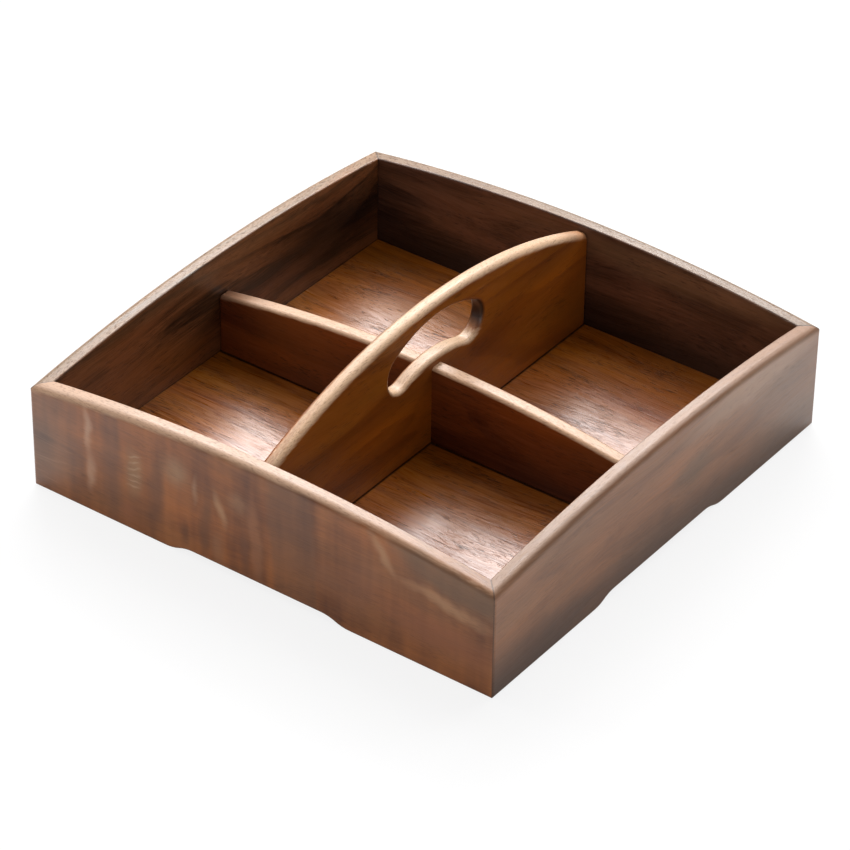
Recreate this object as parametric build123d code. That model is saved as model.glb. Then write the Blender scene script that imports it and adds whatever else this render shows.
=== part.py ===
from build123d import *
from build123d.topology import SkipClean
import os
from math import asin, cos, hypot, sin, sqrt

# A square snack box in walnut. Four mitred walls with crowned tops stand on their own
# corner feet and hold the floor panel in a groove. A tall arched board with a hand slot
# runs from front to back and is the carrying handle. A low crowned board crosses it in a
# halving joint, so that the two part the box into four compartments.
# Loose splines hold the mitres, and dowels hold the ends of the two boards.
#
# Sizes are in millimetres. X runs along the front wall, Y from front to back, Z up.
# The origin is the middle of the footprint, on the surface that the feet stand on.

# Walls
box_length = 250.0  # outside, along X
box_width = 250.0  # outside, along Y
wall = 8.0  # thickness of all four walls
corner_height = 53.5  # top of the walls at the corners
front_crown = 9.2  # rise of the front and back walls at mid length
side_crown = 8.3  # rise of the side walls at mid length
top_round = 3.5  # rounding of the top edge, outside
inner_ease = 0.8  # rounding of the top edge, inside
corner_ease = 1.5  # rounding of the upright outside corners
bottom_ease = 1.6  # rounding of the bottom edge, outside
crown_arcs = 16  # the arched tops are drawn in this many arcs, so that their thin roundings stay even

# Feet, left standing where the bottom edge of each wall is cut back
foot_length = 75.0  # from the corner to where the cut starts
foot_slope = 15.0  # length of the curve that leads into the cut
foot_recess = 3.0  # height of the cut

# Floor panel, loose in a groove round the inside of the walls
floor_rise = 5.5  # underside above the table
floor_thickness = 4.0
groove_skin = 4.0  # wood left between the groove and the outside
floor_side_gap = 0.5  # room for the panel to swell, each side
floor_top_gap = 0.1  # play of the panel in its groove

# Handle board
handle_height = 83.5  # top of the arch above the table
handle_end_drop = 3.7  # from the crown of the front wall down to the arch's ends
handle_thickness = 7.8
handle_round = 3.0  # rounding of the arched top edges

# Hand slot in the handle board
slot_length = 70.0
slot_height = 21.4  # at mid length
slot_end_radius = 9.7
slot_end_drop = 16.3  # from the top of the slot down to the centres of its round ends
grip_height = 7.6  # wood above the slot at mid length
slot_round = 2.2  # rounding of the slot's edges

# Cross divider
divider_height = 50.2  # top at mid length, above the table
divider_crown = 10.4  # rise from its ends to its middle
divider_thickness = 7.6
divider_round = 2.0  # rounding of its top edges

# Both boards
end_ease = 1.4  # rounding of their upright ends
base_ease = 0.7  # bevel of their bottom edges, which leaves a fine line on the floor

# Splines in the mitres
spline_thickness = 2.0
spline_skin = 1.5  # wood left outside a spline
spline_rise = 4.5  # from the floor's top to the spline's lower end
spline_cover = 6.0  # from the spline's upper end to the top of the corner
spline_play = 0.05  # all round

# Dowels in the ends of both boards
dowel_diameter = 4.0
dowel_skin = 3.0  # wood left between a bore and the outside of the wall
dowel_in_board = 9.5
dowel_rise = 12.0  # from the floor's top to the lower dowel
dowel_pitch = 22.0  # from the lower to the upper dowel of the handle board
bore_play = 0.05  # on the radius
bore_end_gap = 0.5  # beyond each end of a dowel

# Places that follow from the sizes above
inner_length = box_length - 2 * wall
inner_width = box_width - 2 * wall
floor_top = floor_rise + floor_thickness
groove_depth = wall - groove_skin
handle_end_height = corner_height + front_crown - handle_end_drop
slot_top = handle_height - grip_height
slot_bottom = slot_top - slot_height
slot_end_height = slot_top - slot_end_drop
slot_end_offset = slot_length / 2 - slot_end_radius
divider_end_height = divider_height - divider_crown
lap_height = (floor_top + divider_height) / 2
dowel_in_wall = wall - dowel_skin - bore_end_gap
dowel_low = floor_top + dowel_rise
dowel_high = dowel_low + dowel_pitch
spline_low = floor_top + spline_rise
spline_high = corner_height - spline_cover
spline_width = sqrt(2) * (wall - 2 * spline_skin) - spline_thickness

TOUCH = 1e-3  # how near two places are when they are taken as the same


def edges_where(solid, test):
    """The edges of a solid whose middle points pass a test."""
    return [edge for edge in solid.edges() if test(edge.center())]


def block(size_x, size_y, low, high, x=0.0, y=0.0):
    """An upright box with its middle over (x, y)."""
    return Pos(x, y, (low + high) / 2) * Box(size_x, size_y, high - low)


def foot_line(length, side):
    """The bottom edge of a wall from one corner to where its foot ends."""
    corner = (side * length / 2, 0)
    toe = (side * (length / 2 - foot_length), 0)
    middle = (side * (length / 2 - foot_length - foot_slope / 2), foot_recess / 2)
    rise = (side * (length / 2 - foot_length - foot_slope), foot_recess)
    return [
        Line(corner, toe),
        TangentArc(toe, middle, tangent=(-side, 0)),
        TangentArc(rise, middle, tangent=(side, 0)),
    ]


def crown_line(length, end_height, height):
    """An arched top edge from its right end to its left end, as short arcs of one circle."""
    rise = height - end_height
    radius = (length**2 / 4 + rise**2) / (2 * rise)
    spread = asin(length / 2 / radius)

    def on_crown(step):
        angle = spread * (1 - 2 * step / crown_arcs)
        return radius * sin(angle), height - radius + radius * cos(angle)

    return [
        ThreePointArc(on_crown(n), on_crown(n + 0.5), on_crown(n + 1)) for n in range(crown_arcs)
    ]


def wall_face(length, crown):
    """The outline of a wall as seen square on, with its arched top and its two feet."""
    left, right = -length / 2, length / 2
    foot_end = length / 2 - foot_length - foot_slope
    outline = [
        Line((left, 0), (left, corner_height)),
        Line((right, corner_height), (right, 0)),
        Line((-foot_end, foot_recess), (foot_end, foot_recess)),
    ]
    outline += crown_line(length, corner_height, corner_height + crown)
    return make_face(outline + foot_line(length, -1) + foot_line(length, 1))


def wall_board(length, crown):
    """A wall with its outside on the plane Y = 0 and its inside at Y = wall."""
    board = extrude(Plane.XZ * wall_face(length, crown), amount=-wall, clean=False)
    near_top = corner_height - TOUCH
    outer_top = edges_where(board, lambda c: c.Y < TOUCH and c.Z > near_top)
    board = fillet(outer_top, top_round)
    inner_top = edges_where(board, lambda c: c.Y > wall - TOUCH and c.Z > near_top)
    board = fillet(inner_top, inner_ease)
    outer_bottom = edges_where(board, lambda c: c.Y < TOUCH and c.Z < foot_recess + TOUCH)
    board = fillet(outer_bottom, bottom_ease)
    for side in (-1, 1):
        corner = side * length / 2
        waste = Polygon((corner, 0), (corner, wall), (corner - side * wall, wall), align=None)
        board -= extrude(waste, amount=corner_height + crown, dir=(0, 0, 1))
    return board


def corner_waste():
    """What lies round the box's footprint, whose upright corners are rounded."""
    plan = RectangleRounded(box_length, box_width, corner_ease)
    around = Rectangle(box_length + wall, box_width + wall) - plan
    return extrude(around, amount=corner_height + max(front_crown, side_crown))


def floor_groove():
    """The space that the floor panel and its groove take."""
    long = inner_length + 2 * groove_depth
    wide = inner_width + 2 * groove_depth
    return block(long, wide, floor_rise, floor_top + floor_top_gap)


def spline(side_x, side_y, play=0.0):
    """A spline across the mitre of one corner. With play it is its slot."""
    middle_x = side_x * (box_length - wall) / 2
    middle_y = side_y * (box_width - wall) / 2
    bar = block(
        spline_width + 2 * play, spline_thickness + 2 * play, spline_low - play, spline_high + play
    )
    return Pos(middle_x, middle_y, 0) * Rot(0, 0, -45 * side_x * side_y) * bar


def dowel_places(on_side_wall):
    """Heights of the dowels that meet a side wall, or the front or back wall."""
    return [dowel_low] if on_side_wall else [dowel_low, dowel_high]


def dowel(direction, height, play=0.0, end_gap=0.0):
    """A dowel through the joint at the wall that lies in a direction. With play it is its bore."""
    along_x, along_y = direction
    reach = inner_length / 2 if along_x else inner_width / 2
    start = reach - dowel_in_board - end_gap
    length = dowel_in_board + dowel_in_wall + 2 * end_gap
    place = Plane((along_x * start, along_y * start, height), z_dir=(along_x, along_y, 0))
    rod = Cylinder(dowel_diameter / 2 + play, length, align=(Align.CENTER, Align.CENTER, Align.MIN))
    return place * rod


FRONT, BACK, LEFT, RIGHT = (0, -1), (0, 1), (-1, 0), (1, 0)
CORNERS = {
    "front_left": (-1, -1),
    "front_right": (1, -1),
    "back_left": (-1, 1),
    "back_right": (1, 1),
}


def joint_bores(solid, directions):
    """A solid with the bores of the dowels cut that meet the walls in some directions."""
    for direction in directions:
        for height in dowel_places(on_side_wall=direction in (LEFT, RIGHT)):
            solid -= dowel(direction, height, bore_play, bore_end_gap)
    return solid


def finished_wall(direction):
    """A wall in its place, with its groove, spline slots and dowel bores."""
    along_x, along_y = direction
    length, crown = (box_width, side_crown) if along_x else (box_length, front_crown)
    turn = {FRONT: 0, RIGHT: 90, BACK: 180, LEFT: -90}[direction]
    place = Pos(along_x * box_length / 2, along_y * box_width / 2, 0) * Rot(0, 0, turn)
    with SkipClean():  # the arcs of the crown stay apart
        board = place * wall_board(length, crown)
        board -= corner_waste()
        board -= floor_groove()
        for side_x, side_y in CORNERS.values():
            if (side_x, 0) == direction or (0, side_y) == direction:
                board -= spline(side_x, side_y, spline_play)
        return joint_bores(board, [direction])


def floor_panel():
    """The panel that lies in the groove of the walls, under both boards."""
    long = inner_length + 2 * (groove_depth - floor_side_gap)
    wide = inner_width + 2 * (groove_depth - floor_side_gap)
    return block(long, wide, floor_rise, floor_top)


def arched_face(length, end_height, height):
    """The outline of a board with a flat bottom on the floor and an arched top."""
    left, right = -length / 2, length / 2
    return make_face(
        [
            Line((left, floor_top), (right, floor_top)),
            Line((right, floor_top), (right, end_height)),
            *crown_line(length, end_height, height),
            Line((left, end_height), (left, floor_top)),
        ]
    )


def slot_face():
    """The hand slot: two round ends, joined by an upper and a lower arc that are tangent to them."""
    below = slot_end_height - slot_bottom
    top_radius = (slot_end_offset**2 + slot_end_drop**2 - slot_end_radius**2) / (
        2 * (slot_end_drop - slot_end_radius)
    )
    bottom_radius = (slot_end_offset**2 + below**2 - slot_end_radius**2) / (
        2 * (slot_end_radius - below)
    )

    def tangent_point(centre_height, radius):
        run, rise = slot_end_offset, slot_end_height - centre_height
        reach = radius / hypot(run, rise)
        return run * reach, centre_height + rise * reach

    top_x, top_z = tangent_point(slot_top - top_radius, top_radius)
    bottom_x, bottom_z = tangent_point(slot_bottom - bottom_radius, bottom_radius)
    half = slot_length / 2
    return make_face(
        [
            ThreePointArc((-top_x, top_z), (0, slot_top), (top_x, top_z)),
            ThreePointArc((top_x, top_z), (half, slot_end_height), (bottom_x, bottom_z)),
            ThreePointArc((bottom_x, bottom_z), (0, slot_bottom), (-bottom_x, bottom_z)),
            ThreePointArc((-bottom_x, bottom_z), (-half, slot_end_height), (-top_x, top_z)),
        ]
    )


def ease_ends_and_base(board, length, across):
    """A board along X with its upright ends rounded and its long bottom edges bevelled."""
    half, side = length / 2 - TOUCH, across / 2 - TOUCH
    uprights = edges_where(
        board, lambda c: abs(c.X) > half and abs(c.Y) > side and c.Z > floor_top + TOUCH
    )
    board = fillet(uprights, end_ease)
    base = edges_where(board, lambda c: abs(c.Y) > side and c.Z < floor_top + TOUCH)
    return chamfer(base, base_ease)


def handle_board():
    """The arched carrying board, from the front wall to the back wall."""
    half = handle_thickness / 2
    face = arched_face(inner_width, handle_end_height, handle_height)
    board = extrude(Plane.XZ * face, amount=half, both=True)
    arch = edges_where(board, lambda c: abs(c.Y) > half - TOUCH and c.Z > handle_end_height)
    board = fillet(arch, handle_round)
    board = ease_ends_and_base(board, inner_width, handle_thickness)
    board -= extrude(Plane.XZ * slot_face(), amount=handle_thickness, both=True)
    slot_edges = edges_where(
        board,
        lambda c: abs(c.Y) > half - TOUCH
        and abs(c.X) < slot_length / 2 + TOUCH
        and slot_bottom - slot_end_radius < c.Z < slot_top + TOUCH,
    )
    board = fillet(slot_edges, slot_round)
    board -= block(divider_thickness, handle_thickness, 0, lap_height)
    return joint_bores(Rot(0, 0, 90) * board, [FRONT, BACK])


def cross_divider():
    """The low crowned board, from the left wall to the right wall, under the hand slot."""
    half = divider_thickness / 2
    face = arched_face(inner_length, divider_end_height, divider_height)
    board = extrude(Plane.XZ * face, amount=half, both=True)
    crown = edges_where(board, lambda c: abs(c.Y) > half - TOUCH and c.Z > divider_end_height)
    board = fillet(crown, divider_round)
    board = ease_ends_and_base(board, inner_length, divider_thickness)
    board -= block(handle_thickness, divider_thickness, lap_height, divider_height)
    return joint_bores(board, [LEFT, RIGHT])


def dowels(direction):
    """The dowels that meet one wall."""
    heights = dowel_places(on_side_wall=direction in (LEFT, RIGHT))
    return Compound([dowel(direction, height).solid() for height in heights])


def make_nodes():
    """Every sub-part by its name."""
    nodes = {
        "front_wall": finished_wall(FRONT),
        "back_wall": finished_wall(BACK),
        "left_wall": finished_wall(LEFT),
        "right_wall": finished_wall(RIGHT),
        "floor_panel": floor_panel(),
        "handle_board": handle_board(),
        "cross_divider": cross_divider(),
        "handle_dowels_front": dowels(FRONT),
        "handle_dowels_back": dowels(BACK),
        "divider_dowel_left": dowels(LEFT),
        "divider_dowel_right": dowels(RIGHT),
    }
    for corner, sides in CORNERS.items():
        nodes[f"mitre_spline_{corner}"] = spline(*sides)
    return nodes


os.makedirs("parts", exist_ok=True)
for name, shape in make_nodes().items():
    export_step(shape, f"parts/{name}.step")
    print(name, len(shape.solids()), "solids,", round(shape.volume), "mm3")
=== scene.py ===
# %% [markdown]
# # A divided snack box in oiled walnut
# Four mitred walls with crowned tops hold a floor panel. An arched board with a hand slot and a
# low board across it part the box into four. The frame brings these boards in as they were made
# in CAD, in metres, with the origin in the middle of the footprint, X along the front wall, Y
# towards the back wall and Z up. Their shape is finished, so this script gives them what CAD
# can't: the figure and pores of the wood, its oiled sheen, its worn rims, light and a camera.
# Some shade and highlight is painted into the wood's colour as well.

# %% The frame
from math import cos, pi, radians, sin

import bpy
from mathutils import Matrix, Vector


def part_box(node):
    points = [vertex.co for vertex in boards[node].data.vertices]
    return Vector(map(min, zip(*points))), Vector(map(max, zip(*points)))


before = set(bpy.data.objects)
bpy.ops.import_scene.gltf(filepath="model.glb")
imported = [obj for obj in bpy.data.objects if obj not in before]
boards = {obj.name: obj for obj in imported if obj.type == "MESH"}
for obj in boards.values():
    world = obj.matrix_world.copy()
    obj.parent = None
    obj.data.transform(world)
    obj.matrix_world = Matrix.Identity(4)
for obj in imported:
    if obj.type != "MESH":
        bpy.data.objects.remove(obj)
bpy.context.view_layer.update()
MM = 0.001
print("pieces from CAD:", ", ".join(sorted(boards)))

# %% [markdown]
# ## Camera
# A long lens from far off keeps the box's edges nearly parallel, as in a catalogue picture. The
# camera is placed by the direction that it looks from and by how far it stands off, because
# these are what one reads from the converging edges of a square box.

# %% Camera
TARGET = Vector((0, 0, 25 * MM))
AZIMUTH, ELEVATION, ROLL = radians(36.025), radians(35.191), radians(0.801)
DISTANCE = 1797.9 * MM
AIM_RIGHT, AIM_UP = -1.9 * MM, -7.6 * MM
FOCAL_PIXELS, FRAME_PIXELS, SENSOR_MM = 4035.3, 850, 36.0

turn = Matrix.Rotation(AZIMUTH, 4, "Z") @ Matrix.Rotation(pi / 2 - ELEVATION, 4, "X")
turn = turn @ Matrix.Rotation(ROLL, 4, "Z")
lens = bpy.data.cameras.new("camera")
lens.sensor_width = SENSOR_MM
lens.lens = SENSOR_MM * FOCAL_PIXELS / FRAME_PIXELS
lens.clip_start, lens.clip_end = 0.05, 50
camera = bpy.data.objects.new("camera", lens)
stand_off = Matrix.Translation((AIM_RIGHT, AIM_UP, DISTANCE))
camera.matrix_world = Matrix.Translation(TARGET) @ turn @ stand_off
bpy.context.scene.collection.objects.link(camera)
bpy.context.scene.camera = camera
print(f"lens {lens.lens:.0f} mm, camera at", [round(v, 3) for v in camera.matrix_world.translation])


# %% [markdown]
# ## Colours and nodes
# A shader works with linear light, but a colour is easiest to name as it looks on a screen, as
# sRGB hex. One function turns one into the other. Another adds a node of any kind, sets it up
# and links it, so that the recipes below read as lists of what feeds what. A third starts a
# material with an empty node tree, to hold such a recipe.


# %% Three helpers
def colour(text):
    """An sRGB hex colour as the linear values that a shader takes."""
    parts = [int(text[i : i + 2], 16) / 255 for i in (0, 2, 4)]
    linear = [p / 12.92 if p <= 0.04045 else ((p + 0.055) / 1.055) ** 2.4 for p in parts]
    return (*linear, 1.0)


def add(tree, kind, inputs=None, **settings):
    """A node of some kind, with its settings, and its inputs set to values or linked."""
    made = tree.nodes.new(kind)
    for name, value in settings.items():
        setattr(made, name, value)
    for name, value in (inputs or {}).items():
        if isinstance(value, bpy.types.Node):
            value = next(socket for socket in value.outputs if socket.enabled)
        if isinstance(value, bpy.types.NodeSocket):
            tree.links.new(value, made.inputs[name])
        else:
            made.inputs[name].default_value = value
    return made


def new_material(name):
    """A material with an empty node tree."""
    material = bpy.data.materials.new(name)
    material.use_nodes = True
    material.node_tree.nodes.clear()
    return material, material.node_tree


print("a walnut brown, 9a5e34, is linear", [round(v, 3) for v in colour("9a5e34")])

# %% [markdown]
# ## Room and table
# The box stands on a white sweep in a bright room. The camera sees the room as white. The light
# that the room sheds on matt wood is weaker, and what the oil mirrors lies between the two.
# Strong lamps could wash a grey sheet out to white as well, but they would bleach the wood.

# %% Room
world = bpy.data.worlds.new("studio")
bpy.context.scene.world = world
world.use_nodes = True
room = world.node_tree
sky = room.nodes["Background"]
sky.inputs["Color"].default_value = (1, 1, 1, 1)
ray = add(room, "ShaderNodeLightPath")
MATT, MIRRORED, SEEN = 0.40, 0.50, 1.0
level = add(room, "ShaderNodeMath", {
    0: ray.outputs["Is Glossy Ray"], 1: MIRRORED - MATT, 2: MATT}, operation="MULTIPLY_ADD")
level = add(room, "ShaderNodeMath", {
    0: ray.outputs["Is Camera Ray"], 1: SEEN - MATT, 2: level}, operation="MULTIPLY_ADD")
room.links.new(level.outputs[0], sky.inputs["Strength"])
print("room strength", MATT, "on matt wood,", MIRRORED, "in the oil,", SEEN, "in sight")

# %% Table
# The paint takes the box's shadow. The glow, which only the camera sees, keeps it faint and
# drowns it 0.6 m from the box, so that the sweep has no horizon in low views.
TABLE_HALF, GLOW_SHARE, GLOW_FROM, GLOW_FULL = 4.0, 0.84, 0.3, 0.6
material, tree = new_material("matt_white_paper_sweep")
paint = add(tree, "ShaderNodeBsdfDiffuse", {"Color": colour("e6e6e6")})  # paper, 80% white
glow = add(tree, "ShaderNodeEmission", {"Color": (1, 1, 1, 1), "Strength": 1.0})
from_box = add(tree, "ShaderNodeVectorMath", {
    0: add(tree, "ShaderNodeTexCoord").outputs["Object"]}, operation="LENGTH")
share = add(tree, "ShaderNodeMapRange", {
    "Value": from_box.outputs["Value"], "From Min": GLOW_FROM, "From Max": GLOW_FULL,
    "To Min": GLOW_SHARE}, interpolation_type="SMOOTHSTEP")
path = add(tree, "ShaderNodeLightPath")
seen = add(tree, "ShaderNodeMath", {
    0: path.outputs["Is Camera Ray"], 1: share}, operation="MULTIPLY")
mixed = add(tree, "ShaderNodeMixShader", {0: seen, 1: paint, 2: glow})
add(tree, "ShaderNodeOutputMaterial", {"Surface": mixed})
mesh = bpy.data.meshes.new("table")
corners = [(x * TABLE_HALF, y * TABLE_HALF, 0) for x, y in ((-1, -1), (1, -1), (1, 1), (-1, 1))]
mesh.from_pydata(corners, [], [(0, 1, 2, 3)])
mesh.materials.append(material)
table = bpy.data.objects.new("table", mesh)
bpy.context.scene.collection.objects.link(table)
print("table", 2 * TABLE_HALF, "m across, white from", GLOW_FULL, "m on")


# %% [markdown]
# ## Window light
# The sheen on the four floors and the bright rims come from windows behind the box, seen in the
# oil at the angle of a mirror. Weak fill from the left and the front keeps the near faces brown
# instead of black. Small lamps could light it too, but their glints would be hard, so each one
# is as large as a window. Its azimuth is 0 in front of the front wall and 90 at the right wall.


# %% Lamps
def soft_box(name, azimuth, elevation, distance, size, watts):
    """A rectangular lamp that looks at the box."""
    light = bpy.data.lights.new(name, "AREA")
    light.shape = "RECTANGLE"
    light.size, light.size_y = size
    light.energy = watts
    placed = bpy.data.objects.new(name, light)
    a, e = radians(azimuth), radians(elevation)
    direction = Vector((sin(a) * cos(e), -cos(a) * cos(e), sin(e)))
    placed.location = TARGET + direction * distance
    placed.rotation_euler = direction.to_track_quat("Z", "Y").to_euler()
    bpy.context.scene.collection.objects.link(placed)
    print(name, "at", [round(v, 2) for v in placed.location], watts, "W")


LAMPS = (  # name, azimuth, elevation, metres away, width and height in metres, watts
    ("window", 214, 40, 1.6, (1.1, 0.5), 27),
    ("upper_window", 205, 64, 1.6, (1.3, 0.6), 12),
    ("side_window", 161, 41, 1.6, (0.8, 0.6), 7),
    ("left_fill", 272, 42, 1.2, (0.8, 0.6), 6),
    ("front_fill", 20, 14, 2.0, (2.0, 0.6), 7),
)
for lamp in LAMPS:
    soft_box(*lamp)


# %% [markdown]
# ## How the grain lies
# A board is sawn along the trunk, so all that one sees on it is drawn out along the grain. Noise
# that is stretched one way gives such streaks. The fibres aren't straight either. They swing by
# a centimetre or two over the length of a board, and one slow noise bends all the others.
# Blender's wave texture could draw stripes too, but they are too even for wood.


# %% Streaks
SWING_MM = 22.0  # from side to side, at most


def streaks(tree, place, long_mm, wide_mm, detail=2.0):
    """Soft streaks about so long along the grain and so wide across it, as values near 0.5."""
    stretch = (1 / long_mm, 1 / wide_mm, 1 / wide_mm)
    stretched = add(tree, "ShaderNodeVectorMath", {0: place, 1: stretch}, operation="MULTIPLY")
    return add(tree, "ShaderNodeTexNoise", {"Vector": stretched, "Scale": 1.0, "Detail": detail})


def grain_place(tree, turned, start):
    """Places in mm: as they are in the box, and along the bent grain of a board."""
    place = add(tree, "ShaderNodeTexCoord").outputs["Object"]
    mm = add(tree, "ShaderNodeMapping", {"Vector": place, "Scale": (1000, 1000, 1000)})
    grain = add(tree, "ShaderNodeMapping", {
        "Vector": mm, "Rotation": (0, 0, pi / 2 if turned else 0), "Location": (start, 0, 0)})
    wander = streaks(tree, grain, 160, 40)
    bend = add(tree, "ShaderNodeVectorMath", {
        0: wander.outputs["Color"], 1: (0.5, 0.5, 0.5)}, operation="SUBTRACT")
    bent = add(tree, "ShaderNodeVectorMath", {
        0: bend, 1: (0, SWING_MM, SWING_MM), 2: grain}, operation="MULTIPLY_ADD")
    return mm, bent


print("fibres swing by up to", SWING_MM, "mm from side to side")

# %% [markdown]
# ## Growth rings
# Walnut grows 3 to 6 mm a year. Each ring starts pale in spring and ends in a thin dark line in
# autumn. A flat-sawn board cuts the rings at a slant, so their distance from the pith, which
# lies outside the board, gives the wide arches and lines of its face.


# %% Rings
RING_MM = 5.0
RING = ((0.12, 1.0), (0.6, 0.72), (0.92, 0.08))  # part of the year, lightness
YEAR_ENDS = 0.5  # lightness where one ring goes over into the next


def growth_rings(tree, bent, pith):
    """The lightness of the wood through the seasons, by the distance from the pith."""
    across = add(tree, "ShaderNodeVectorMath", {0: bent, 1: (0, 1, 1)}, operation="MULTIPLY")
    radius = add(tree, "ShaderNodeVectorMath", {0: across, 1: (0, *pith)}, operation="DISTANCE")
    years = add(tree, "ShaderNodeMath", {
        0: radius.outputs["Value"], 1: 1 / RING_MM}, operation="MULTIPLY")
    season = add(tree, "ShaderNodeMath", {0: years}, operation="FRACT")
    late = add(tree, "ShaderNodeFloatCurve", {"Value": season})
    curve = late.mapping.curves[0]
    curve.points[0].location, curve.points[-1].location = (0, YEAR_ENDS), (1, YEAR_ENDS)
    for x, y in RING:
        curve.points.new(x, y)
    late.mapping.update()
    return late


print("a ring is", RING_MM, "mm wide, and darkest", round(RING[-1][0] * RING_MM, 1), "mm on")

# %% [markdown]
# ## Colour of the wood
# Heartwood drifts from dark chocolate to tan over a few centimetres, and from warm to greyish.
# Fibres a millimetre wide and finer ones break that up. Curly figure, where the fibres wave in
# and out of the face, adds bands across the grain. Each could be laid on as a paint of its own.
# Here they add up to one tone between two browns, so that every mixture is a colour of the wood.


# %% Heartwood
CURL_BANDS = (1 / 10, 1 / 10, 1 / 70)  # bands 10 mm wide and 70 mm high, across the grain


def laid_over(tree, below, amount, hue, blend="MIX"):
    """A colour laid over another by an amount from 0 to 1."""
    mix = add(tree, "ShaderNodeMix", {0: amount, 6: below, 7: colour(hue)}, data_type="RGBA",
              blend_type=blend)
    return mix.outputs[2]


def heartwood(tree, mm, bent, b):
    """The plain colour of a board and its fibres, which also serve for sheen and relief."""
    fibre = streaks(tree, bent, 45, 1.1, 3.0)
    hair = streaks(tree, bent, 14, 0.5, 1.0)
    bands = add(tree, "ShaderNodeVectorMath", {
        0: mm, 1: CURL_BANDS}, operation="MULTIPLY")
    curl = add(tree, "ShaderNodeTexNoise", {"Vector": bands, "Scale": 1.0, "Detail": 2.0})
    layers = ((growth_rings(tree, bent, b["pith"]), b["rings"]),
              (streaks(tree, bent, 180, 18, 3.0), b["drift"]), (curl, b["curl"]),
              (fibre, b["fibre"]), (hair, b["hair"]))
    tone = 0.5
    for value, weight in layers:
        centred = add(tree, "ShaderNodeMath", {0: value, 1: 0.5}, operation="SUBTRACT")
        tone = add(tree, "ShaderNodeMath", {
            0: centred, 1: weight, 2: tone}, operation="MULTIPLY_ADD")
    turns_grey = add(tree, "ShaderNodeMapRange", {
        "Value": streaks(tree, bent, 70, 22), "From Min": 0.35, "From Max": 0.65,
        "To Max": b["cool"]})
    pale = laid_over(tree, colour(b["light"]), turns_grey, b["second"])
    wood = add(tree, "ShaderNodeMix", {0: tone, 6: colour(b["dark"]), 7: pale}, data_type="RGBA")
    return wood.outputs[2], fibre, hair


print("curly bands are", [round(1 / scale) for scale in CURL_BANDS], "mm in X, Y and Z")

# %% [markdown]
# ## Marks of one board
# What makes a board itself are a few marks: a pale curl, a knot's shadow, a reddish patch. Each
# is an ellipse on one face of the board, with an edge that is ragged by a few millimetres. They
# could be painted into an image, but a short list of ellipses is easier to read and to move.
# On the inner faces of the back and left walls the same ellipses also paint shade and light.


# %% Marks
RAGGED_MM, RAGGED_EVERY_MM = 6.0, 10.0
ALL_THROUGH = 1e4  # mm; a mark's ellipse is endless across the board


def with_marks(tree, mm, normal, shown, b):
    """Adds (along, height, half length, half height, tilt, hard, strength, colour) ellipses."""
    facing = add(tree, "ShaderNodeVectorMath", {0: normal, 1: b["face"]}, operation="DOT_PRODUCT")
    on_face = add(tree, "ShaderNodeMapRange", {
        "Value": facing.outputs["Value"], "From Min": 0.3, "From Max": 0.9})
    ragged = add(tree, "ShaderNodeTexNoise", {
        "Vector": mm, "Scale": 1 / RAGGED_EVERY_MM, "Detail": 2.5})
    shaken = add(tree, "ShaderNodeVectorMath", {
        0: ragged.outputs["Color"], 1: [RAGGED_MM] * 3, 2: mm}, operation="MULTIPLY_ADD")
    place = add(tree, "ShaderNodeVectorMath", {
        0: shaken, 1: [RAGGED_MM / 2] * 3}, operation="SUBTRACT")
    for along, height, half_along, half_height, tilt, hard, strength, hue in b["marks"]:
        lean, deep = radians(tilt), ALL_THROUGH
        where, size, twist = (along, 0, height), (half_along, deep, half_height), (0, lean, 0)
        if b["face"] == (0, 0, 1):
            where, size, twist = (along, height, 0), (half_along, half_height, deep), (0, 0, -lean)
        elif b["turned"]:
            where, size, twist = (0, along, height), (deep, half_along, half_height), (-lean, 0, 0)
        fitted = add(tree, "ShaderNodeMapping", {
            "Vector": place, "Location": where, "Rotation": twist, "Scale": size},
            vector_type="TEXTURE")
        away = add(tree, "ShaderNodeVectorMath", {0: fitted}, operation="LENGTH")
        cover = add(tree, "ShaderNodeMapRange", {
            "Value": away.outputs["Value"], "From Min": hard, "From Max": 1.0,
            "To Min": strength, "To Max": 0.0}, interpolation_type="SMOOTHSTEP")
        cover = add(tree, "ShaderNodeMath", {0: cover, 1: on_face}, operation="MULTIPLY")
        shown = laid_over(tree, shown, cover, hue)
    return shown


print("the edge of a mark wanders by up to", RAGGED_MM / 2, "mm to each side")

# %% [markdown]
# ## Pores
# Walnut is full of vessels, cut open along the face as dark scratches 0.2 mm wide and up to a
# centimetre long. They gather in swarms. They are drawn about 0.4 mm wide here, because a pixel
# of the picture covers nearly half a millimetre of the box. As grooves in the mesh there would
# be thousands of them, so the peaks of a fine noise stand for them.


# %% Pores
OPEN_FROM, OPEN_FULL = 0.84, 0.93  # how dense the noise is where a vessel is cut open


def pores(tree, bent, amount):
    """How deep a place lies in an open vessel, from 0 to an amount."""
    swarm = streaks(tree, bent, 30, 8, 1.0)
    vessel = streaks(tree, bent, 6, 0.42, 1.0)
    dense = add(tree, "ShaderNodeMath", {0: swarm, 1: 0.45, 2: vessel}, operation="MULTIPLY_ADD")
    return add(tree, "ShaderNodeMapRange", {
        "Value": dense, "From Min": OPEN_FROM, "From Max": OPEN_FULL, "To Max": amount})


print("a vessel is cut open where the noise is over", OPEN_FROM)
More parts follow.
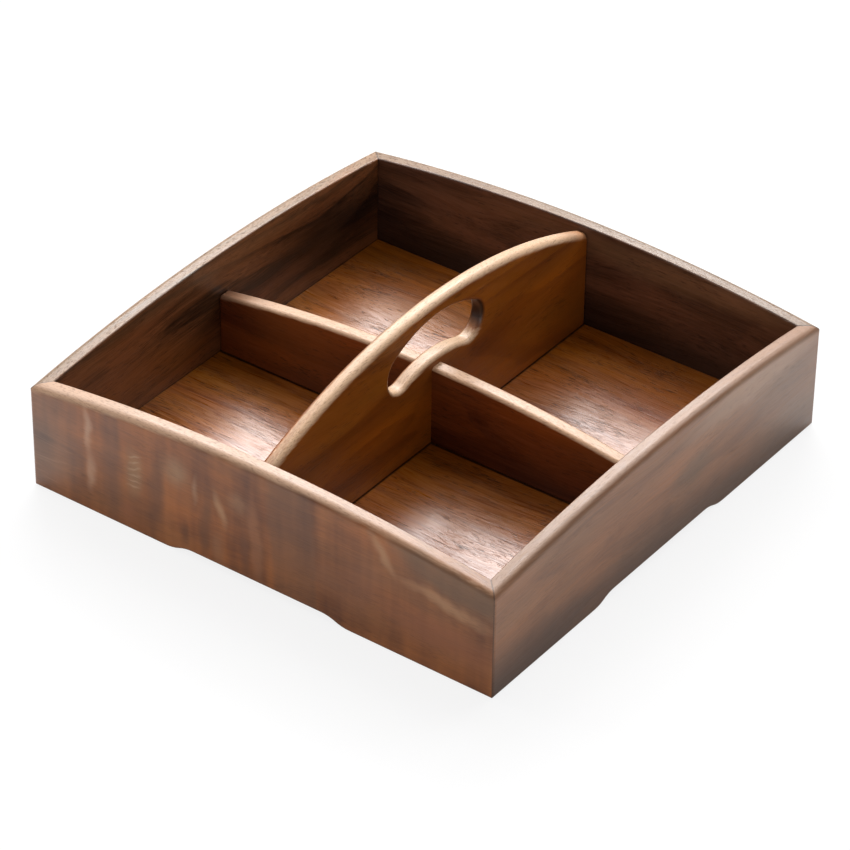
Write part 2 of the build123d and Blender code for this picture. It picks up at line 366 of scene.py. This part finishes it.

# %% [markdown]
# ## Wear, painted light and seams
# Hands and sanding take the oil and the dark off the rims, so rounded edges turn pale along the
# fibres and show cut vessels as specks. That pale is partly painted highlight too: it reaches
# further round the roundings and along the walls where the windows catch them. Painted shade
# lies on the lower rounding of some rims and on the inner faces of the walls, which are darker
# than the outside. The ends of the slot are cut across the grain, where the oil sinks in and
# darkens the wood, and painted shade turns their upper part, which faces down, nearly black. The
# seams where the boards stand in the floor are drawn as dark lines, and the mitres at the corners
# as fine ones. Masks could be painted for all this, but the way that a surface faces and its
# place in the box already tell where each belongs.


# %% Wear and painted highlight
SPECK_DULLS = 0.4  # a cut vessel takes this much off the mirror of the wood round it
RUB_FADES = (0.12, 0.5)  # how far past its threshold a surface has to face, to turn pale first and fully
RUBBED_MOST = 0.8
# The last of these browns draws the dark seams where the boards stand in the floor.
SPECK_BROWN, SEAM_BROWN, DUST_BROWN = "4c2e1c", "1e1008", "0c0502"


def facing_part(tree, normal, way, low, high, most):
    """An amount from 0 to most, by how far a surface faces some way."""
    facing = add(tree, "ShaderNodeVectorMath", {0: normal, 1: way}, operation="DOT_PRODUCT")
    return add(tree, "ShaderNodeMapRange", {
        "Value": facing.outputs["Value"], "From Min": low, "From Max": high, "To Max": most})


def rubbed_edges(tree, mm, bent, normal, fibre, shown, b):
    """Pale rims, from wear and painted highlight, patchy along the fibres, with dark specks."""
    facing = add(tree, "ShaderNodeVectorMath", {
        0: normal, 1: b["rub_way"]}, operation="DOT_PRODUCT")
    along = add(tree, "ShaderNodeSeparateXYZ", {0: mm})
    reach = add(tree, "ShaderNodeMath", {
        0: along.outputs["X"], 1: b["rub_run"], 2: facing.outputs["Value"]},
        operation="MULTIPLY_ADD")
    patchy = add(tree, "ShaderNodeMath", {0: fibre, 1: 0.5, 2: reach}, operation="MULTIPLY_ADD")
    worn = add(tree, "ShaderNodeMapRange", {
        "Value": patchy, "From Min": b["rub_from"] + RUB_FADES[0],
        "From Max": b["rub_from"] + RUB_FADES[1], "To Max": RUBBED_MOST})
    # The pale fades towards one end of the board: less wear there, and less painted highlight.
    if b["fresh_end"]:
        axis, fresh, full = b["fresh_end"]
        used = add(tree, "ShaderNodeMapRange", {
            "Value": along.outputs[axis], "From Min": fresh, "From Max": full, "To Min": 0.2})
        worn = add(tree, "ShaderNodeMath", {0: worn, 1: used}, operation="MULTIPLY")
    pale = laid_over(tree, shown, worn, b["rubbed"])
    speck = add(tree, "ShaderNodeMapRange", {
        "Value": streaks(tree, bent, 2.2, 0.5, 1.0), "From Min": 0.52, "From Max": 0.72,
        "To Max": b["specks"]})
    speck = add(tree, "ShaderNodeMath", {0: speck, 1: worn}, operation="MULTIPLY")
    return laid_over(tree, pale, speck, SPECK_BROWN), worn, speck


print("the most that a rim turns pale is", RUBBED_MOST)

# %% Seams
SEAM_MM, SEAM_FADES_MM = 0.6, 0.5  # a seam's width, and the part of it that fades into the floor
FOOT_LINE_MM, FOOT_FADES_MM = 1.0, 0.5  # the same at the foot of the inner boards
INNER_BOARD_MM = 8.0  # near enough the thickness of both inner boards
WALL_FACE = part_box("cross_divider")[1].x / MM  # the divider ends where it meets the wall
FLOOR_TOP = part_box("floor_panel")[1].z / MM
COMPARTMENT_MIDDLE = (WALL_FACE + INNER_BOARD_MM / 2) / 2  # in X and in Y alike
COMPARTMENT_HALF = WALL_FACE - COMPARTMENT_MIDDLE


def floor_seams(tree, mm, shown):
    """A dark line round each compartment."""
    size = add(tree, "ShaderNodeVectorMath", {0: mm}, operation="ABSOLUTE")
    shifted = add(tree, "ShaderNodeVectorMath", {
        0: size, 1: (COMPARTMENT_MIDDLE, COMPARTMENT_MIDDLE, 0)}, operation="SUBTRACT")
    off = add(tree, "ShaderNodeSeparateXYZ", {
        0: add(tree, "ShaderNodeVectorMath", {0: shifted}, operation="ABSOLUTE")})
    far = add(tree, "ShaderNodeMath", {
        0: off.outputs["X"], 1: off.outputs["Y"]}, operation="MAXIMUM")
    line = add(tree, "ShaderNodeMapRange", {
        "Value": far, "From Min": COMPARTMENT_HALF - SEAM_MM,
        "From Max": COMPARTMENT_HALF - SEAM_MM + SEAM_FADES_MM, "To Max": 0.85})
    return laid_over(tree, shown, line, DUST_BROWN)


def mitre_seam(tree, mm, shown):
    """A fine dark line at each corner, drawn about 0.6 mm wide so that a pixel can show it."""
    size = add(tree, "ShaderNodeSeparateXYZ", {
        0: add(tree, "ShaderNodeVectorMath", {0: mm}, operation="ABSOLUTE")})
    off = add(tree, "ShaderNodeMath", {
        0: size.outputs["X"], 1: size.outputs["Y"]}, operation="SUBTRACT")
    off = add(tree, "ShaderNodeMath", {0: off}, operation="ABSOLUTE")
    line = add(tree, "ShaderNodeMapRange", {
        "Value": off, "From Min": 0.2, "From Max": 0.6, "To Min": 0.6, "To Max": 0.0})
    return laid_over(tree, shown, line, SEAM_BROWN)


def foot_seam(tree, mm, shown):
    """A dark line low on a board, just over the floor."""
    height = add(tree, "ShaderNodeSeparateXYZ", {0: mm})
    low = add(tree, "ShaderNodeMapRange", {
        "Value": height.outputs["Z"], "From Min": FLOOR_TOP + FOOT_LINE_MM - FOOT_FADES_MM,
        "From Max": FLOOR_TOP + FOOT_LINE_MM, "To Min": 0.9, "To Max": 0.0})
    return laid_over(tree, shown, low, DUST_BROWN)


print("compartments", round(2 * COMPARTMENT_HALF, 1), "mm wide, floor at", round(FLOOR_TOP, 1))

# %% [markdown]
# ## Oiled walnut
# Penetrating oil leaves the wood bare to the touch. It mirrors like any dielectric, here with an
# index of 1.48 between oil and cellulose, and is satin, 0.3 to 0.45 rough, duller where the
# fibres stand up. A thin film of it is smoother, and gives the wood its second, sharper gloss.
# One gloss halfway between could stand for both, but the sheen would lose its bright middle.


# %% Colour of a whole board
# End grain brown is also painted shade in the slot's upper ends; rim shade brown is painted shade.
PORE_BROWN, END_GRAIN_BROWN, RIM_SHADE_BROWN = "241006", "180a05", "3a2214"


def board_colour(tree, mm, bent, b):
    """All that colours a board, from the heartwood up to the seams. Also what the oil needs."""
    normal = add(tree, "ShaderNodeNewGeometry").outputs["Normal"]
    shown, fibre, hair = heartwood(tree, mm, bent, b)
    # Painted shade: faces that look into the box are multiplied darker than the outside.
    if b["inside"]:
        way, hue = b["inside"]
        inward = facing_part(tree, normal, way, 0.2, 0.9, 1.0)
        shown = laid_over(tree, shown, inward, hue, "MULTIPLY")
    shown = with_marks(tree, mm, normal, shown, b)
    pit = pores(tree, bent, b["pores"])
    shown = laid_over(tree, shown, pit, PORE_BROWN)
    # End grain is darker, and painted shade makes its downward-facing part nearly black.
    if b["end_way"]:
        across = facing_part(tree, normal, b["end_way"], 0.4, 1.0, 0.93)
        shown = laid_over(tree, shown, across, END_GRAIN_BROWN)
    # Painted shade on the lower part of a rim's rounding, which faces away from the light.
    if b["under_rim"]:
        rounding = facing_part(tree, normal, (0, 0, 1), 0.1, 0.4, b["under_rim"])
        shown = laid_over(tree, shown, rounding, RIM_SHADE_BROWN)
    worn = speck = None
    # Pale rims: wear, and painted highlight where the windows catch the roundings.
    if b["rubbed"]:
        shown, worn, speck = rubbed_edges(tree, mm, bent, normal, fibre, shown, b)
    if b["seams"]:
        shown = b["seams"](tree, mm, shown)
    return shown, fibre, hair, pit, worn, speck


print("end grain sends back only", round(colour(END_GRAIN_BROWN)[0], 3), "of red light")

# %% Oil
OIL_IOR, FILM_ROUGHNESS = 1.48, 0.17
RELIEF_DEEP = 0.2 * MM


def relief(tree, fibre, hair, pit, b):
    """Fibres stand up and vessels lie deep."""
    height = add(tree, "ShaderNodeMath", {0: pit, 1: -1.0, 2: fibre}, operation="MULTIPLY_ADD")
    height = add(tree, "ShaderNodeMath", {0: hair, 1: 0.5, 2: height}, operation="MULTIPLY_ADD")
    return add(tree, "ShaderNodeBump", {
        "Strength": b["relief"], "Distance": RELIEF_DEEP, "Height": height})


def oil(tree, fibre, hair, pit, worn, speck, b):
    """The shader's roughness, its mirror and its film, weaker in open grain and on the pale rims.
    """
    gloss = add(tree, "ShaderNodeMapRange", {
        "Value": fibre, "From Min": 0.3, "From Max": 0.7, "To Min": b["roughness"] - 0.06,
        "To Max": b["roughness"] + 0.08})
    closed = add(tree, "ShaderNodeMath", {
        0: add(tree, "ShaderNodeMath", {0: hair, 1: pit}, operation="SUBTRACT"), 1: fibre})
    mirror = add(tree, "ShaderNodeMapRange", {
        "Value": closed, "From Min": 0.75, "From Max": 1.2, "To Min": 0.5 - b["open_grain"],
        "To Max": 0.5 + b["open_grain"]})
    oiled = 2 * b["coat"]
    if b["rubbed"]:
        mirror = add(tree, "ShaderNodeMath", {0: speck, 1: -SPECK_DULLS, 2: mirror},
                     operation="MULTIPLY_ADD")
        gloss = add(tree, "ShaderNodeMath", {0: worn, 1: 0.05, 2: gloss}, operation="MULTIPLY_ADD")
        oiled = add(tree, "ShaderNodeMath", {0: worn, 1: -0.4 * oiled, 2: oiled},
                    operation="MULTIPLY_ADD")
    film = add(tree, "ShaderNodeMath", {0: mirror, 1: oiled}, operation="MULTIPLY")
    return {"Roughness": gloss, "IOR": OIL_IOR, "Specular IOR Level": mirror,
            "Coat Weight": film, "Coat Roughness": FILM_ROUGHNESS}


print("head on, oil mirrors", round(((OIL_IOR - 1) / (OIL_IOR + 1)) ** 2, 3), "of the light")

# %% Material
PLAIN = dict(
    turned=False, start=0.0, pith=(-60, 30),  # grain along Y, place in the trunk, pith in mm
    rings=0.35, drift=1.8, curl=0.0, fibre=0.8, hair=0.6, cool=0.5,  # weights in the colour
    marks=(), face=(0, 0, 1), inside=None,  # the face that has the marks, painted shade of the inward face
    pores=0.6, open_grain=0.08, end_way=None,  # and the way that dark end grain, also painted shade, faces
    rubbed=None, rub_way=(0, 0, 1), rub_from=0.8, rub_run=0.0, fresh_end=None,  # rims pale from wear and painted highlight
    # A rim's lower rounding can also be given painted shade, set on the next line.
    specks=0.5, under_rim=0.0, seams=None, roughness=0.40, coat=0.12, relief=0.3)


def walnut(name, dark, light, second, **changes):
    """Oiled walnut between two browns, the lighter of which turns to a second one in places."""
    b = {**PLAIN, "dark": dark, "light": light, "second": second, **changes}
    material, tree = new_material(name)
    mm, bent = grain_place(tree, b["turned"], b["start"])
    shown, fibre, hair, pit, worn, speck = board_colour(tree, mm, bent, b)
    shader = add(tree, "ShaderNodeBsdfPrincipled", {
        "Base Color": shown, "Normal": relief(tree, fibre, hair, pit, b),
        **oil(tree, fibre, hair, pit, worn, speck, b)})
    add(tree, "ShaderNodeOutputMaterial", {"Surface": shader})
    print(name, "in", len(tree.nodes), "nodes")
    return material


print("a board has", len(PLAIN), "settings beside its browns")

# %% [markdown]
# ## Walls
# The front wall is the showpiece: greyish at its left end, then curls and ripples, a plain part
# right of a straight edge, and an olive field over a reddish one, with a pale band between. The
# right wall is darker towards its foot. Inside, painted shade darkens the back wall towards the
# floor and the left wall towards the back corner and along its middle, and painted light makes
# both paler under the rim.
# The four could share one walnut. Real boards differ even from one tree, so each wall has its
# own browns, its own place in the trunk and its own marks.

# %% Front wall
FRONT_MARKS = (
    (-120, 26, 32, 60, 0, 0.0, 0.54, "5e4c40"),  # greyish left end
    (-119, 29, 9, 2.6, 10, 0.1, 0.50, "40281e"),  # dark fleck
    (-92, 44, 3.6, 16, -3, 0.1, 0.55, "b08c72"),  # pale curl, in two parts
    (-91, 22, 3.2, 14, 4, 0.1, 0.45, "b08c72"),
    (-79, 26, 8, 60, 0, 0.1, 0.45, "5a3a2a"),
    (-67, 32, 6.5, 17, 0, 0.2, 0.45, "90704f"),  # column of ripples
    *((-67, z, 5.5, 0.8, -16, 0.0, 0.34, "b49676") for z in (25, 28, 31, 34, 37, 40)),
    (-70, 9, 8, 11, 0, 0.1, 0.55, "88502e"),  # reddish foot
    (-54, 26, 7, 30, 4, 0.2, 0.55, "4e3020"),
    (-43, 43, 12, 12, 20, 0.0, 0.50, "98795a"),  # pale cloud
    (-38.5, 13, 4, 9, 0, 0.1, 0.50, "462616"),
    (-32, 38, 2.2, 11, 8, 0.0, 0.40, "a08064"),
    (-27, 20, 4.5, 22, 6, 0.2, 0.50, "50321f"),
    (-19, 34, 13, 3.2, 76, 0.0, 0.50, "ae8864"),  # pale curl
    (-20, 12, 6, 14, 0, 0.1, 0.50, "926442"),
    (-9, 41, 8, 9, 0, 0.0, 0.45, "9c7250"),
    (-6, 18, 3, 16, 0, 0.2, 0.40, "5e3a26"),
    (0, 24, 5, 34, -4, 0.3, 0.45, "96623e"),
    (20, 34, 14, 80, -4, 0.75, 0.42, "68462e"),  # plain part with a straight edge
    (38, 23, 12, 12, 0, 0.1, 0.45, "784c30"),
    (55, 26, 14, 26, 30, 0.2, 0.40, "7c4e34"),
    (104, 55, 47, 18, 14, 0.5, 0.68, "5c4632"),  # olive field
    (67, 50, 16, 4.0, 52, 0.1, 0.55, "a87e5a"),  # pale band above the reddish field
    (101, 38, 32, 4.5, 9, 0.1, 0.55, "a87e5a"),
    (98, 20, 48, 14, 4, 0.2, 0.62, "7e482a"),  # reddish field
)
# Planed through curly fibres: bands that shimmer across the grain, and hardly a pore.
# Its rim is pale from wear and painted highlight, with painted shade under it and inside.
front_wall = walnut(
    "oiled_walnut_planed_curly", "52280f", "9b5924", "83542c", marks=FRONT_MARKS, face=(0, -1, 0),
    curl=1.4, pores=0.2, rings=0.12, fibre=0.35, hair=0.3, drift=1.2, cool=0.6, rubbed="b8967a",
    rub_way=(0, -0.3, 1), rub_from=0.72, rub_run=-0.0022, fresh_end=("X", -170, -112),
    under_rim=0.15, open_grain=0.03, inside=((0, 1, 0), "c0b4ac"), seams=mitre_seam)

# %% Right wall
RIGHT_MARKS = (
    (-40, 0, 300, 27, -2, 0.35, 0.65, "423026"),  # darker towards the foot
    (-112, 6, 70, 26, -8, 0.35, 0.45, "3c2b22"),
    (110, 30, 60, 60, 0, 0.0, 0.48, "5c483a"),  # duller towards the back
    (24, 33, 22, 10, 0, 0.35, 0.40, "5c4a38"),
    (70, 52, 70, 10, 0, 0.35, 0.40, "a98a72"),
)
# Planed, straight-grained and cooler in colour: plain, with painted shade under its rim.
# Its rim is pale from wear and painted highlight; its inner face carries painted shade.
right_wall = walnut(
    "oiled_walnut_planed_straight", "543522", "a36c46", "8c6b4d", turned=True, start=400,
    marks=RIGHT_MARKS, face=(1, 0, 0), pores=0.2, rings=0.15, fibre=0.4, hair=0.3, drift=0.9,
    open_grain=0.04, rubbed="937054", rub_from=0.85, under_rim=0.3, inside=((-1, 0, 0), "c0b4ac"),
    seams=mitre_seam)

# %% Back and left walls
BACK_MARKS = (
    (0, 4, 260, 34, 0, 0.35, 0.75, "160b06"),  # painted shade, dark towards the floor
    (50, 54, 130, 11, 0, 0.2, 0.38, "886040"),  # painted light, paler under the rim
)
# Planed, from darker heartwood: deep brown, with cut vessels as specks along its rim.
# Its rim is pale from wear and painted highlight; its inner face carries painted shade.
back_wall = walnut(
    "oiled_walnut_planed_back", "321c10", "7b5237", "694a2f", start=900, drift=2.4,
    marks=BACK_MARKS, face=(0, -1, 0), rubbed="7a6148", rub_way=(0, 0.5, 1), specks=0.9,
    inside=((0, -1, 0), "d6c6c6"), seams=mitre_seam)
LEFT_MARKS = (
    (80, 32, 70, 26, 0, 0.2, 0.80, "180c07"),  # painted shade, dark towards the back corner
    # painted shade, a dark streak along the middle
    (20, 30, 90, 9, -6, 0.1, 0.60, "1c0e08"),
    (40, 13, 52, 9, 0, 0.1, 0.45, "7a4a1e"),  # paler foot
    (-64, 20, 74, 19, 0, 0.3, 0.45, "8a5220"),  # golden front half
    (0, 57, 150, 8, 0, 0.2, 0.34, "886242"),  # painted light, paler under the rim
)
# Planed, with strong rings and coarse fibres: long dark and light lines.
# Its rim is pale from wear and painted highlight; its inner face carries painted shade.
left_wall = walnut(
    "oiled_walnut_planed_left", "35200f", "8a5632", "785434", turned=True, start=1300, drift=3.0,
    rings=0.6, fibre=1.0, hair=1.1, marks=LEFT_MARKS, face=(1, 0, 0), rubbed="84694c",
    rub_way=(-0.5, 0, 1), specks=1.0, inside=((1, 0, 0), "e4e0dc"), seams=mitre_seam)

# %% [markdown]
# ## Floor, handle board and divider
# The floor is the warmest board and the one with the clearest pores and sheen. The handle's arch
# is cut across its fibres, and its rim, pale from wear and painted highlight, is the palest. The
# divider is the darkest board. They could have recipes of their own, but they are the walls'
# wood, worked and oiled in other ways.

# %% Inner boards
FLOOR_MARKS = (
    (60, -70, 70, 60, 0, 0.3, 0.35, "5a2c00"),  # darker under the front right compartment
    (70, 85, 50, 40, 0, 0.1, 0.40, "84421a"),  # redder at the back right
    (-58, 70, 50, 40, 0, 0.1, 0.30, "74502c"),  # greyer at the back left
)
# Polished and well oiled: the smoothest and glossiest board, dulled where its pores lie open.
floor_panel = walnut(
    "oiled_walnut_polished_floor", "602a00", "aa5c06", "8e5a10", start=1700, pith=(30, -80),
    rings=0.25, drift=1.6, fibre=0.6, hair=0.7, pores=0.7, roughness=0.33, coat=0.22,
    relief=0.45, open_grain=0.2, marks=FLOOR_MARKS, face=(0, 0, 1), seams=floor_seams)
# Sanded to a curve that cuts the fibres: a pale rim, from wear and painted highlight,
# and faces that are plain and satin.
# The upper ends of its slot are painted shade, nearly black, over darker end grain.
handle_board = walnut(
    "oiled_walnut_sanded_handle", "642e04", "a2580c", "80541a", turned=True, start=2100, fibre=0.3,
    hair=0.2, drift=1.5, pores=0.4, open_grain=0.03, face=(-1, 0, 0),
    marks=((0, 40, 260, 120, 0, 0.5, 0.6, "5c3c26"),),  # the left face has aged browner
    rubbed="ccaa88", rub_from=0.6, rub_way=(0.38, 0.5, 1), fresh_end=("Y", 120, 92),
    end_way=(0, -1.2, -0.35), seams=foot_seam)
# Sanded, from the darkest heartwood: dark reddish faces under a pale rim.
# The rim is pale from wear and from painted highlight.
cross_divider = walnut(
    "oiled_walnut_sanded_divider", "380f04", "7a380e", "5c3414", start=2500, fibre=0.5, hair=0.4,
    marks=((-70, 30, 45, 40, 0, 0.2, 0.4, "8a4c20"),), face=(0, -1, 0), rubbed="c49e7c",
    rub_from=0.58, rub_way=(0, -0.35, 1), fresh_end=("X", -118, -82), seams=foot_seam)

# %% [markdown]
# ## Splines and pins
# Thin splines bridge the mitres and pins hold the inner boards. They are beech, pale and even,
# as one buys them, and hidden in the assembled box. The recipe of the walnut makes beech too,
# with its own colours, because both are hardwoods with fine fibres and short dark flecks.

# %% Joinery
# Turned and sanded: pale, even and without marks or wear.
beech = walnut("beech_turned_and_sanded", "a87848", "c89868", "c8a070", start=3000, drift=0.6)

# %% [markdown]
# ## Dressing the boards
# Each board keeps the mesh that CAD gave it, and gets its wood in place of the plain colour that
# it came with. A board and its neighbour never share a wood, or their grain would run on.

# %% Boards to materials
wood_of = {"front_wall": front_wall, "right_wall": right_wall, "back_wall": back_wall,
           "left_wall": left_wall, "floor_panel": floor_panel, "handle_board": handle_board,
           "cross_divider": cross_divider}
for name, board in boards.items():
    board.data.materials.clear()
    board.data.materials.append(wood_of.get(name, beech))
    print(name, "is", board.data.materials[0].name)

# %% [markdown]
# ## Colours as measured, and the finish
# The Standard transform shows a colour as it was named, without a film curve.

# %% Finish
bpy.context.scene.view_settings.view_transform = "Standard"
